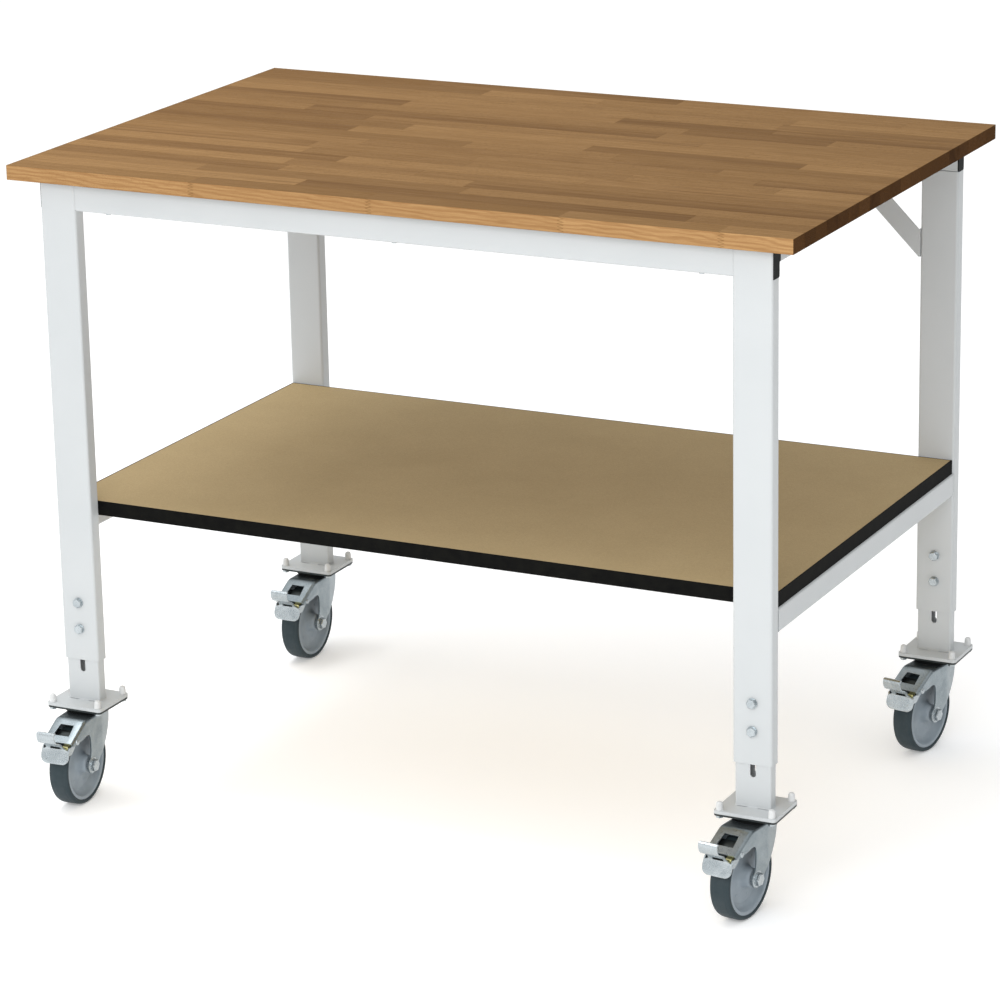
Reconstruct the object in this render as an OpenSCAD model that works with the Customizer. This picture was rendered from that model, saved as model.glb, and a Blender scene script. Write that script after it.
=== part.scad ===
// Mobile workbench: laminated worktop on a tube frame, a lower shelf, and four
// feet that slide in the legs and stand on swivel casters with a brake pedal.
// Millimetres, +Z up, X along the long side, the front is -Y.
// The origin is on the floor under the middle of the whole outline.

/* [Worktop] */
// Length of the worktop along X
top_l = 1250; // [900:10:2000]
// Depth of the worktop along Y
top_d = 800; // [600:10:1000]
// Thickness of the worktop
top_t = 22; // [18:1:50]
// Height of the worktop's upper face at the drawn leg setting
bench_h = 990; // [930:1:1050]

/* [Frame] */
// Width of an outer leg tube along X
leg_w = 60; // [40:1:80]
// Depth of an outer leg tube along Y
leg_d = 24; // [20:1:40]
// Wall of the leg and rail tubes
wall = 2; // [1.5:0.5:3]
// Outer corner radius of the leg tubes
leg_r = 4; // [3:0.5:6]
// Distance from the worktop's end to a leg's outer face
end_inset = 40; // [20:1:120]
// Distance from the worktop's long edge to a leg's outer face
side_inset = 25; // [10:1:80]
// Height of the front and back aprons
apron_h = 45; // [30:1:80]
// Height of the end rails under the worktop
rail_h = 25; // [20:1:40]
// Height of the open lower end of an outer leg above the floor
leg_z = 220; // [200:1:260]

/* [Shelf] */
// Height of the shelf's upper face
shelf_z = 470; // [450:1:600]
// Thickness of the shelf board
shelf_t = 22; // [16:1:30]
// Thickness of the shelf's edge band
band_t = 2; // [1:0.5:3]
// Height of the rails under the shelf
shelf_rail_h = 35; // [25:1:60]

/* [Feet] */
// Clearance between an inner and an outer leg, per side
leg_gap = 0.5; // [0.3:0.1:1]
// Height of the lower clamp bolt above the outer leg's lower end
bolt_low = 50; // [40:1:80]
// Spacing of the two clamp bolts of a leg
bolt_pitch = 42; // [30:1:60]
// Width of the adjusting slot
slot_w = 9; // [8.6:0.2:12]

/* [Casters] */
// Wheel diameter
wheel_d = 125; // [100:5:160]
// Tread width
wheel_w = 32; // [25:1:45]
// Distance from the swivel axis to the wheel axis
trail = 41; // [30:1:50]
// Height from the floor to the upper face of the caster's plate
caster_h = 150; // [150:1:190]
// Plate size along X
plate_x = 95; // [90:1:110]
// Plate size along Y
plate_y = 85; // [75:1:100]
// Reach of the brake pedal in front of the swivel axis
reach = 135; // [130:1:140]
// Drawn swivel angle of the front left caster
turn_fl = 3; // [-20:1:20]
// Drawn swivel angle of the front right caster
turn_fr = -7; // [-20:1:20]
// Drawn swivel angle of the back left caster
turn_bl = 0; // [-20:1:20]
// Drawn swivel angle of the back right caster
turn_br = -10; // [-20:1:20]

/* [Hidden] */
$fn = 64;
TURN = [turn_fl, turn_fr, turn_bl, turn_br];
tab_half = 15;
front_reach = max([for (i = [0, 1]) reach * cos(TURN[i]) + tab_half * abs(sin(TURN[i]))]);
y0 = (front_reach - plate_y / 2) / 2;
hole_x = plate_x / 2 - 7.5;
hole_y = plate_y / 2 - 6.5;
cap_r = 5.4;
ox = top_l / 2 - end_inset;
lx = ox - leg_w / 2;
yf = y0 - top_d / 2 + side_inset;
yb = y0 + top_d / 2 - side_inset;
top_z = bench_h - top_t;
apron_t = leg_d - wall;
apron_z = top_z - apron_h;
cap_t = 2;
spacer_t = 4;
end_rail_w = 30;
shelf_rail_w = 25;
shelf_x = ox - 3;
shelf_y = (yb - yf) / 2 - leg_d - 1;
in_w = leg_w - 2 * wall - 2 * leg_gap;
in_d = leg_d - 2 * wall - 2 * leg_gap;
base_t = 5;
base_z = caster_h + base_t;
slot_lo = leg_z - 20;
slot_hi = leg_z + bolt_low + bolt_pitch + 80;
in_top = slot_hi + 40;
axle_z = wheel_d / 2;
fork_in = 24;
sheet = 2.5;
brace_w = 30;
brace_t = 3;
brace_z = apron_z - 118;
screw_x = [-0.38 * top_l, 0, 0.38 * top_l];

CORNERS = ["fl", "fr", "bl", "br"];
CORNER_X = [-lx, lx, -lx, lx];
CORNER_Y = [yf + leg_d / 2, yf + leg_d / 2, yb - leg_d / 2, yb - leg_d / 2];
PER_CORNER = [
  "outer_leg",
  "inner_leg",
  "plate_bolts",
  "bolt_caps",
  "caster_plate",
  "swivel_seal",
  "fork",
  "axle_bolt",
  "brake_pedal",
  "wheel_core",
  "tyre"
];
FRAME_PARTS = [
  "worktop",
  "front_apron",
  "back_apron",
  "left_end_rail",
  "right_end_rail",
  "tube_end_caps",
  "shelf_board",
  "shelf_edge_band",
  "left_shelf_rail",
  "right_shelf_rail",
  "left_brace",
  "right_brace",
  "leg_bolts",
  "brace_bolts",
  "top_screws"
];

// A rounded rectangle centred on the origin.
module rrect(w, d, r) {
  square([w - 2 * r, d], center = true);
  square([w, d - 2 * r], center = true);
  for (x = [r - w / 2, w / 2 - r])
    for (y = [r - d / 2, d / 2 - r])
      translate([x, y])
        circle(r = r);
}

// A rectangular tube standing on the XY plane.
module rtube(w, d, h, t, r) {
  linear_extrude(height = h)
    difference() {
      rrect(w, d, r);
      rrect(w - 2 * t, d - 2 * t, r - t);
    }
}

// A tube that runs along +X from the origin.
module tube_x(w, h, l, t, r) {
  rotate([90, 0, 90])
    rtube(w, h, l, t, r);
}

// A tube that runs along +Y from the origin.
module tube_y(w, h, l, t, r) {
  translate([0, l, 0])
    rotate([90, 0, 0])
      rtube(w, h, l, t, r);
}

// A hexagon prism of a given size across flats.
module hex(af, h) {
  cylinder(d = af / cos(30), h = h, $fn = 6);
}

module worktop() {
  color([0.80, 0.62, 0.40])
    difference() {
      translate([-top_l / 2, y0 - top_d / 2, top_z])
        cube([top_l, top_d, top_t]);
      for (x = screw_x)
        for (y = [yf + wall + apron_t / 2, yb - wall - apron_t / 2])
          translate([x, y, top_z - 1])
            cylinder(r = 2.6, h = 17);
    }
}

// An apron: a flat tube through the notches of two legs, with screw holes.
module apron(y) {
  color([0.86, 0.87, 0.88])
    difference() {
      translate([cap_t - ox, y, apron_z + apron_h / 2])
        tube_x(apron_t, apron_h, 2 * (ox - cap_t), wall, 3);
      for (x = screw_x)
        translate([x, y, apron_z - 1])
          cylinder(r = 2.8, h = apron_h + 2);
      if (y > y0)
        for (s = [-1, 1])
          translate([s * (ox - leg_w - 115), yb - 11, apron_z - 1])
            cylinder(r = 3.2, h = wall + 2);
    }
}

module front_apron() {
  apron(yf + wall + apron_t / 2);
}

module back_apron() {
  apron(yb - wall - apron_t / 2);
}

// An end rail under the worktop, between the aprons.
module end_rail(s) {
  color([0.86, 0.87, 0.88])
    translate([s * (ox - end_rail_w / 2), yf + leg_d + spacer_t, top_z - rail_h / 2])
      tube_y(end_rail_w, rail_h, yb - yf - 2 * leg_d - 2 * spacer_t, wall, 3);
}

module left_end_rail() {
  end_rail(-1);
}

module right_end_rail() {
  end_rail(1);
}

// Plastic end caps of the aprons and of the end rails.
module tube_end_caps() {
  color([0.06, 0.06, 0.07]) {
    for (s = [-1, 1])
      for (y = [yf + wall + apron_t / 2, yb - wall - apron_t / 2])
        translate([s * (ox - cap_t / 2), y, apron_z + apron_h / 2])
          rotate([90, 0, 90]) {
            linear_extrude(height = cap_t, center = true)
              rrect(apron_t, apron_h, 3);
            translate([0, 0, -s * (cap_t / 2 + 4)])
              linear_extrude(height = 8, center = true)
                square([apron_t - 2 * wall - 2, apron_h - 2 * wall - 2], center = true);
          }
    for (s = [-1, 1])
      for (e = [-1, 1])
        translate([
          s * (ox - end_rail_w / 2),
          y0 + e * ((yb - yf) / 2 - leg_d - spacer_t / 2),
          top_z - rail_h / 2
        ])
          rotate([90, 0, 0]) {
            linear_extrude(height = spacer_t, center = true)
              rrect(end_rail_w, rail_h, 3);
            translate([0, 0, e * (spacer_t / 2 + 4)])
              linear_extrude(height = 8, center = true)
                square([end_rail_w - 2 * wall - 2, rail_h - 2 * wall - 2], center = true);
          }
  }
}

module shelf_board() {
  color([0.66, 0.54, 0.40])
    translate([band_t - shelf_x, y0 + band_t - shelf_y, shelf_z - shelf_t])
      cube([2 * (shelf_x - band_t), 2 * (shelf_y - band_t), shelf_t]);
}

module shelf_edge_band() {
  color([0.05, 0.05, 0.05])
    difference() {
      translate([-shelf_x, y0 - shelf_y, shelf_z - shelf_t])
        cube([2 * shelf_x, 2 * shelf_y, shelf_t]);
      translate([band_t - shelf_x, y0 + band_t - shelf_y, shelf_z - shelf_t - 1])
        cube([2 * (shelf_x - band_t), 2 * (shelf_y - band_t), shelf_t + 2]);
    }
}

// A rail under the shelf, between the front and the back leg.
module shelf_rail(s) {
  color([0.86, 0.87, 0.88])
    translate([
      s * (ox - shelf_rail_w / 2),
      yf + leg_d,
      shelf_z - shelf_t - shelf_rail_h / 2
    ])
      tube_y(shelf_rail_w, shelf_rail_h, yb - yf - 2 * leg_d, wall, 3);
}

module left_shelf_rail() {
  shelf_rail(-1);
}

module right_shelf_rail() {
  shelf_rail(1);
}

// A flat diagonal strip from a back leg to the back apron, with end flanges.
module brace(s) {
  xi = ox - leg_w - brace_t;
  zi = apron_z - brace_t;
  k = ox - leg_w + brace_z;
  h = brace_w * sqrt(2) / 2;
  color([0.74, 0.75, 0.77])
    difference() {
      union() {
        translate([0, yb - leg_d + brace_t, 0])
          rotate([90, 0, 0])
            linear_extrude(height = brace_t)
              polygon([
                [s * xi, k - xi - h],
                [s * xi, k - xi + h],
                [s * (k - zi + h), zi],
                [s * (k - zi - h), zi]
              ]);
        translate([s * (xi + brace_t / 2), yb - leg_d + 11, k - xi])
          cube([brace_t, 22, 2 * h], center = true);
        translate([s * (k - zi), yb - leg_d + 11, zi + brace_t / 2])
          cube([2 * h, 22, brace_t], center = true);
      }
      translate([s * xi, yb - 11, k - xi])
        rotate([0, 90, 0])
          cylinder(r = 3.2, h = 20, center = true);
      translate([s * (ox - leg_w - 115), yb - 11, zi])
        cylinder(r = 3.2, h = 20, center = true);
    }
}

module left_brace() {
  brace(-1);
}

module right_brace() {
  brace(1);
}

// Screws that hold the braces to the back legs and to the back apron.
module brace_bolts() {
  color([0.70, 0.71, 0.73])
    for (s = [-1, 1]) {
      translate([s * (ox - leg_w - brace_t), yb - 11, brace_z + brace_t])
        rotate([0, s * 90, 0]) {
          translate([0, 0, -4])
            hex(10, 4);
          cylinder(r = 3, h = 16);
        }
      translate([s * (ox - leg_w - 115), yb - 11, apron_z - brace_t]) {
        translate([0, 0, -4])
          hex(10, 4);
        cylinder(r = 3, h = 16);
      }
    }
}

// Two clamp bolts per leg, heads to the front, nuts behind.
module leg_bolts() {
  color([0.72, 0.74, 0.78])
    for (i = [0:3])
      for (z = [leg_z + bolt_low, leg_z + bolt_low + bolt_pitch])
        translate([CORNER_X[i], CORNER_Y[i] - leg_d / 2, z])
          rotate([-90, 0, 0]) {
            translate([0, 0, -6.9])
              hex(13, 5.3);
            translate([0, 0, -1.6])
              cylinder(r = 8, h = 1.6);
            translate([0, 0, -2])
              cylinder(r = 4, h = leg_d + 13);
            translate([0, 0, leg_d])
              cylinder(r = 8, h = 1.6);
            translate([0, 0, leg_d + 1.6])
              hex(13, 6.5);
          }
}

// Screws from the aprons up into the worktop.
module top_screws() {
  color([0.70, 0.71, 0.73])
    for (x = screw_x)
      for (y = [yf + wall + apron_t / 2, yb - wall - apron_t / 2])
        translate([x, y, apron_z]) {
          translate([0, 0, -2.5])
            cylinder(r1 = 4, r2 = 5, h = 2.5);
          cylinder(r = 2.5, h = apron_h + 15);
        }
}

// An outer leg: open below, notched above for the apron. side is -1 at the
// front and 1 at the back.
module outer_leg(i) {
  side = i < 2 ? -1 : 1;
  color([0.86, 0.87, 0.88])
    difference() {
      translate([CORNER_X[i], CORNER_Y[i], leg_z])
        rtube(leg_w, leg_d, top_z - leg_z, wall, leg_r);
      translate([CORNER_X[i], CORNER_Y[i] - side * (wall + 10), apron_z + 50])
        cube([leg_w + 2, leg_d + 20, 100], center = true);
      for (z = [leg_z + bolt_low, leg_z + bolt_low + bolt_pitch])
        translate([CORNER_X[i], CORNER_Y[i], z])
          rotate([90, 0, 0])
            cylinder(r = 4.3, h = leg_d + 2, center = true);
      if (side > 0)
        translate([CORNER_X[i], yb - 11, brace_z + brace_t])
          rotate([0, CORNER_X[i] > 0 ? -90 : 90, 0])
            cylinder(r = 3.2, h = leg_w);
    }
}

// The sliding inner leg with its adjusting slot and welded base plate.
module inner_leg() {
  color([0.86, 0.87, 0.88])
    difference() {
      union() {
        translate([0, 0, base_z])
          rtube(in_w, in_d, in_top - base_z, wall, leg_r - wall + 0.5);
        translate([0, 0, caster_h])
          linear_extrude(height = base_t)
            rrect(plate_x, plate_y, 5);
      }
      translate([0, 0, slot_lo + slot_w / 2])
        rotate([90, 0, 0])
          cylinder(d = slot_w, h = leg_d, center = true);
      translate([0, 0, slot_hi - slot_w / 2])
        rotate([90, 0, 0])
          cylinder(d = slot_w, h = leg_d, center = true);
      translate([0, 0, (slot_lo + slot_hi) / 2])
        cube([slot_w, leg_d, slot_hi - slot_lo - slot_w], center = true);
      for (x = [-16, 16])
        translate([x, -in_d / 2 - 1.6, caster_h])
          cube([16, 3, 3 * base_t], center = true);
      plate_holes();
    }
}

// Four clearance holes through both plates.
module plate_holes() {
  for (x = [-hole_x, hole_x])
    for (y = [-hole_y, hole_y])
      translate([x, y, caster_h - 10])
        cylinder(r = 3.4, h = 30);
}

module plate_bolts() {
  color([0.72, 0.74, 0.78])
    for (x = [-hole_x, hole_x])
      for (y = [-hole_y, hole_y])
        translate([x, y, caster_h]) {
          translate([0, 0, -7])
            hex(10, 4);
          translate([0, 0, -4])
            cylinder(r = 3, h = 18);
        }
}

// Domed plastic covers on the ends of the plate bolts.
module bolt_caps() {
  color([0.93, 0.93, 0.91])
    for (x = [-hole_x, hole_x])
      for (y = [-hole_y, hole_y])
        translate([x, y, base_z])
          difference() {
            union() {
              cylinder(r1 = cap_r, r2 = 5, h = 9);
              translate([0, 0, 9])
                cylinder(r1 = 5, r2 = 3.2, h = 3.5);
            }
            translate([0, 0, -1])
              cylinder(r = 3.1, h = 11);
          }
}

// The fixed half of the caster: plate, upper race and king pin.
module caster_plate() {
  color([0.72, 0.75, 0.80])
    difference() {
      union() {
        translate([0, 0, caster_h - 3])
          linear_extrude(height = 3)
            rrect(plate_x, plate_y, 6);
        translate([0, 0, caster_h - 9])
          cylinder(r = 31, h = 7);
        translate([0, 0, caster_h - 20])
          cylinder(r = 7, h = 12);
        translate([0, 0, caster_h - 20])
          cylinder(r = 11, h = 4);
      }
      plate_holes();
    }
}

module swivel_seal() {
  color([0.05, 0.05, 0.05])
    translate([0, 0, caster_h - 11.2])
      difference() {
        cylinder(r = 34.5, h = 5);
        translate([0, 0, -1])
          cylinder(r = 31.3, h = 7);
      }
}

// The outline of a fork cheek: x is forwards from the swivel axis, y is up.
module cheek_outline() {
  polygon([
    [-28, caster_h - 12],
    [-27, caster_h - 38],
    [-12, caster_h - 62],
    [10, axle_z + 10],
    [28, axle_z - 4],
    [54, axle_z],
    [46, axle_z + 12],
    [42.5, axle_z + 28],
    [43, caster_h - 43],
    [46, caster_h - 38],
    [51, caster_h - 36],
    [62, caster_h - 38],
    [93, caster_h - 40],
    [99, caster_h - 33.6],
    [55.6, caster_h - 11.2],
    [-24, caster_h - 11.2]
  ]);
  translate([trail, axle_z])
    circle(r = 14);
}

// The swivelling fork: race disc, crown, two cheeks and a sloping front panel.
module fork() {
  color([0.72, 0.75, 0.80])
    difference() {
      union() {
        translate([0, 0, caster_h - 13.7])
          cylinder(r = 31.3, h = 4.4);
        for (x = [-fork_in - sheet, fork_in])
          translate([x, 0, 0])
            rotate([90, 0, 90])
              linear_extrude(height = sheet)
                mirror([1, 0])
                  cheek_outline();
        translate([-fork_in - sheet, 0, 0])
          rotate([90, 0, 90])
            linear_extrude(height = 2 * (fork_in + sheet))
              mirror([1, 0])
                polygon([
                  [-24, caster_h - 13.7],
                  [55, caster_h - 13.7],
                  [97.9, caster_h - 35.8],
                  [99, caster_h - 33.6],
                  [55.6, caster_h - 11.2],
                  [-24, caster_h - 11.2]
                ]);
      }
      translate([0, 0, caster_h - 16])
        cylinder(r = 7.08, h = 8);
      translate([0, 0, 100])
        linear_extrude(height = 60)
          polygon([[-11, -63], [11, -63], [14, -86], [-14, -86]]);
      translate([0, -trail, axle_z])
        rotate([0, 90, 0])
          cylinder(r = 6, h = 80, center = true);
    }
  color([0.72, 0.75, 0.80])
    for (s = [-1, 1])
      translate([s * (fork_in - 1.5), -84, caster_h - 36])
        rotate([0, 90, 0])
          cylinder(r = 3, h = 4, center = true);
}

// The wheel axle: a bolt with head and nut outside the cheeks, and spacers.
module axle_bolt() {
  color([0.74, 0.76, 0.80])
    translate([0, -trail, axle_z])
      rotate([0, 90, 0]) {
        cylinder(r = 5.9, h = 66, center = true);
        for (s = [-1, 1]) {
          translate([0, 0, s * 22.05])
            cylinder(r = 9, h = 3.9, center = true);
          translate([0, 0, s > 0 ? fork_in + sheet : -fork_in - sheet - 7])
            hex(17, 7);
        }
      }
}

// The brake pedal: two arms on the fork's pins, a tread plate and a rolled tab.
module brake_pedal() {
  color([0.72, 0.75, 0.80])
    difference() {
      union() {
        for (x = [-23.4, 20.9])
          translate([x, 0, 0])
            rotate([90, 0, 90])
              linear_extrude(height = sheet)
                mirror([1, 0])
                  polygon([
                    [78, caster_h - 42],
                    [78, caster_h - 32],
                    [88, caster_h - 33.5],
                    [97, caster_h - 39],
                    [103, caster_h - 39],
                    [107, caster_h - 52],
                    [96, caster_h - 52]
                  ]);
        translate([-24, 0, 0])
          rotate([90, 0, 90])
            linear_extrude(height = 48)
              mirror([1, 0])
                polygon([
                  [101.4, caster_h - 39],
                  [110.5, caster_h - 65],
                  [113, caster_h - 64],
                  [104, caster_h - 38]
                ]);
        translate([-tab_half, 0, 0])
          rotate([90, 0, 90])
            linear_extrude(height = 2 * tab_half)
              mirror([1, 0])
                polygon([
                  [102.6, caster_h - 39.4],
                  [105.4, caster_h - 42.4],
                  [reach - 2.2, caster_h - 20.4],
                  [reach - 4.2, caster_h - 18.4]
                ]);
        translate([0, 4 - reach, caster_h - 16.5])
          rotate([0, 90, 0])
            cylinder(r = 4, h = 2 * tab_half, center = true);
      }
      translate([0, -84, caster_h - 36])
        rotate([0, 90, 0])
          cylinder(r = 3.08, h = 60, center = true);
    }
}

// The dished wheel core with its hub.
module wheel_core() {
  color([0.55, 0.56, 0.57])
    translate([0, -trail, axle_z])
      rotate([0, 90, 0])
        rotate_extrude()
          polygon([
            [5.98, -20],
            [13, -20],
            [15, -18],
            [17, -8],
            [22, -4],
            [42, -4],
            [47, -8],
            [49, -14.5],
            [wheel_d / 2 - 7, -15],
            [wheel_d / 2 - 7, 15],
            [49, 14.5],
            [47, 8],
            [42, 4],
            [22, 4],
            [17, 8],
            [15, 18],
            [13, 20],
            [5.98, 20]
          ]);
}

// The tyre, with rounded shoulders.
module tyre() {
  color([0.28, 0.29, 0.30])
    translate([0, -trail, axle_z])
      rotate([0, 90, 0])
        rotate_extrude()
          polygon([
            [wheel_d / 2 - 7, -wheel_w / 2],
            [wheel_d / 2 - 3.5, -wheel_w / 2],
            [wheel_d / 2 - 1.5, 1 - wheel_w / 2],
            [wheel_d / 2 - 0.4, 3 - wheel_w / 2],
            [wheel_d / 2, 6 - wheel_w / 2],
            [wheel_d / 2, wheel_w / 2 - 6],
            [wheel_d / 2 - 0.4, wheel_w / 2 - 3],
            [wheel_d / 2 - 1.5, wheel_w / 2 - 1],
            [wheel_d / 2 - 3.5, wheel_w / 2],
            [wheel_d / 2 - 7, wheel_w / 2]
          ]);
}

// Moves a foot part to its corner.
module at_corner(i) {
  translate([CORNER_X[i], CORNER_Y[i], 0])
    children();
}

// Moves a swivelling part to its corner and turns it about the swivel axis.
module at_caster(i) {
  at_corner(i)
    rotate([0, 0, TURN[i]])
      children();
}

worktop();
front_apron();
back_apron();
left_end_rail();
right_end_rail();
tube_end_caps();
shelf_board();
shelf_edge_band();
left_shelf_rail();
right_shelf_rail();
left_brace();
right_brace();
leg_bolts();
brace_bolts();
top_screws();
for (i = [0:3]) {
  outer_leg(i);
  at_corner(i) inner_leg();
  at_corner(i) plate_bolts();
  at_corner(i) bolt_caps();
  at_corner(i) caster_plate();
  at_caster(i) swivel_seal();
  at_caster(i) fork();
  at_caster(i) axle_bolt();
  at_caster(i) brake_pedal();
  at_caster(i) wheel_core();
  at_caster(i) tyre();
}
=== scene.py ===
import math
import random

import bmesh
import bpy
from mathutils import Matrix, Vector


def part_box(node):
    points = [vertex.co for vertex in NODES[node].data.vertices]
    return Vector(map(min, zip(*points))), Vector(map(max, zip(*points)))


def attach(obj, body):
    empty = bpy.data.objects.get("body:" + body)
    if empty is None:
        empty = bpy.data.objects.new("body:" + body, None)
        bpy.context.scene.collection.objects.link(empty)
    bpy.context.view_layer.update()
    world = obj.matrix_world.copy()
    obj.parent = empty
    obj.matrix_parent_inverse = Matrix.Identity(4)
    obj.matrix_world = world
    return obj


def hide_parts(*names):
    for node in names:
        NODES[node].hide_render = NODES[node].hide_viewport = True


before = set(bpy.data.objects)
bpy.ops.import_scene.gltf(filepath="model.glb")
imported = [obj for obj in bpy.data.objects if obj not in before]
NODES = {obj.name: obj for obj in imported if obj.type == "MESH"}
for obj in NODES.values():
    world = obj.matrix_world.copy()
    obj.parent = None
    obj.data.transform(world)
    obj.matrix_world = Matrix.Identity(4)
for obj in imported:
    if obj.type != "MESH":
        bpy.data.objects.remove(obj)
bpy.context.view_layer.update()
CORNERS = ("fl", "fr", "bl", "br")
MM = 0.001
random.seed(7)

# ---------------------------------------------------------------- materials


class Shader:
    """A node material with one Principled shader."""

    def __init__(self, name):
        self.mat = bpy.data.materials.new(name)
        self.mat.use_nodes = True
        self.tree = self.mat.node_tree
        self.tree.nodes.clear()
        self.out = self.node("ShaderNodeOutputMaterial")
        self.bsdf = self.node("ShaderNodeBsdfPrincipled")
        self.tree.links.new(self.bsdf.outputs[0], self.out.inputs[0])
        self.coord = self.node("ShaderNodeTexCoord").outputs["Object"]

    def node(self, kind, **props):
        made = self.tree.nodes.new(kind)
        for key, value in props.items():
            setattr(made, key, value)
        return made

    def set(self, **values):
        for key, value in values.items():
            self.bsdf.inputs[key.replace("_", " ")].default_value = value

    def feed(self, socket, source):
        if isinstance(source, bpy.types.NodeSocket):
            self.tree.links.new(source, socket)
        else:
            socket.default_value = source

    def scaled(self, scale, source=None):
        m = self.node("ShaderNodeMapping")
        m.inputs["Scale"].default_value = scale
        self.feed(m.inputs["Vector"], source or self.coord)
        return m.outputs[0]

    def noise(self, vector, scale=1.0, detail=4.0, rough=0.5, distort=0.0):
        n = self.node("ShaderNodeTexNoise")
        self.feed(n.inputs["Vector"], vector)
        n.inputs["Scale"].default_value = scale
        n.inputs["Detail"].default_value = detail
        n.inputs["Roughness"].default_value = rough
        n.inputs["Distortion"].default_value = distort
        return n.outputs[0]

    def voronoi(self, vector, scale=1.0):
        n = self.node("ShaderNodeTexVoronoi")
        self.feed(n.inputs["Vector"], vector)
        n.inputs["Scale"].default_value = scale
        return n.outputs["Distance"]

    def ramp(self, factor, stops):
        n = self.node("ShaderNodeValToRGB")
        ramp = n.color_ramp
        while len(ramp.elements) < len(stops):
            ramp.elements.new(0.5)
        for el, (pos, col) in zip(ramp.elements, stops):
            el.position = pos
            el.color = (*col, 1) if isinstance(col, tuple) else (col, col, col, 1)
        self.feed(n.inputs[0], factor)
        return n.outputs[0]

    def math(self, op, a, b):
        n = self.node("ShaderNodeMath", operation=op)
        for socket, value in zip(n.inputs, (a, b)):
            self.feed(socket, value)
        return n.outputs[0]

    def remap(self, value, lo, hi, to_lo, to_hi):
        n = self.node("ShaderNodeMapRange")
        for key, v in zip(("Value", "From Min", "From Max", "To Min", "To Max"),
                          (value, lo, hi, to_lo, to_hi)):
            self.feed(n.inputs[key], v)
        return n.outputs[0]

    def mix(self, factor, a, b, blend="MIX"):
        n = self.node("ShaderNodeMix", data_type="RGBA", blend_type=blend)
        self.feed(n.inputs[0], factor)
        for socket, value in ((n.inputs[6], a), (n.inputs[7], b)):
            self.feed(socket, (*value, 1) if isinstance(value, tuple) else value)
        return n.outputs[2]

    def bump(self, height, strength, distance):
        n = self.node("ShaderNodeBump")
        n.inputs["Strength"].default_value = strength
        n.inputs["Distance"].default_value = distance
        self.feed(n.inputs["Height"], height)
        self.feed(self.bsdf.inputs["Normal"], n.outputs[0])

    def colour(self, source):
        self.feed(self.bsdf.inputs["Base Color"], source)

    def roughness(self, source):
        self.feed(self.bsdf.inputs["Roughness"], source)

    def shine(self, level):
        self.bsdf.inputs["Specular IOR Level"].default_value = level


def powder_coat():
    """Light grey powder coat with an orange peel surface and a few specks."""
    s = Shader("powder_coat")
    cloud = s.noise(s.coord, 6.0, 3.0)
    peel = s.noise(s.coord, 520.0, 3.0, 0.6)
    dust = s.voronoi(s.coord, 190.0)
    tone = s.remap(cloud, 0.3, 0.7, 0.0, 1.0)
    base = s.mix(tone, (0.485, 0.506, 0.514), (0.508, 0.527, 0.534))
    speck = s.ramp(dust, [(0.0, 1.0), (0.045, 0.0)])
    s.colour(s.mix(s.math("MULTIPLY", speck, 0.25), base, (0.40, 0.42, 0.43)))
    s.roughness(s.remap(peel, 0.3, 0.7, 0.34, 0.46))
    s.bump(peel, 0.10, 0.0004)
    return s.mat


# For each kind of face: how often each pattern repeats along x, y and z, and the
# scale, bend and depth of the growth rings.
GRAIN = {
    "top": dict(broad=(2.4, 60.0, 60.0), streak=(14.0, 620.0, 620.0), pore=(160.0, 1400.0, 1400.0),
                ray=(110.0, 520.0, 330.0), ring=(0.35, 1.0, 1.0), scale=42.0, bend=5.0, depth=0.20),
    "side": dict(broad=(2.4, 60.0, 60.0), streak=(14.0, 620.0, 620.0), pore=(160.0, 1400.0, 1400.0),
                 ray=(210.0, 520.0, 760.0), ring=(0.22, 1.0, 1.0), scale=48.0, bend=7.0, depth=0.42),
    "end": dict(broad=(60.0, 60.0, 60.0), streak=(420.0, 420.0, 420.0), pore=(900.0, 900.0, 900.0),
                ray=(300.0, 420.0, 240.0), ring=(1.0, 1.0, 1.0), scale=110.0, bend=3.0, depth=0.38),
}


def stave_point(s, tone, seed):
    """The object coordinates, moved so that each stave shows another part of the pattern."""
    offset = s.node("ShaderNodeCombineXYZ")
    s.feed(offset.inputs[0], s.math("MULTIPLY", seed, 9.0))
    s.feed(offset.inputs[1], s.math("MULTIPLY", tone, 7.0))
    s.feed(offset.inputs[2], s.math("MULTIPLY", seed, 5.0))
    shift = s.node("ShaderNodeVectorMath", operation="ADD")
    s.feed(shift.inputs[0], s.coord)
    s.feed(shift.inputs[1], offset.outputs[0])
    return shift.outputs[0]


def growth_rings(s, at, face):
    """Bands on a stave's top and rings on its side and end, from 0 to the face's depth."""
    grain = GRAIN[face]
    rings = s.node("ShaderNodeTexWave", wave_type="BANDS" if face == "top" else "RINGS")
    rings.bands_direction = "Y"
    rings.rings_direction = "X" if face == "end" else "Y"
    s.feed(rings.inputs["Vector"], s.scaled(grain["ring"], at))
    rings.inputs["Scale"].default_value = grain["scale"]
    rings.inputs["Distortion"].default_value = grain["bend"]
    rings.inputs["Detail"].default_value = 3.0
    rings.inputs["Detail Scale"].default_value = 1.4
    return s.math("MULTIPLY", s.remap(rings.outputs[0], 0.25, 0.95, 0.0, 1.0), grain["depth"])


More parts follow.
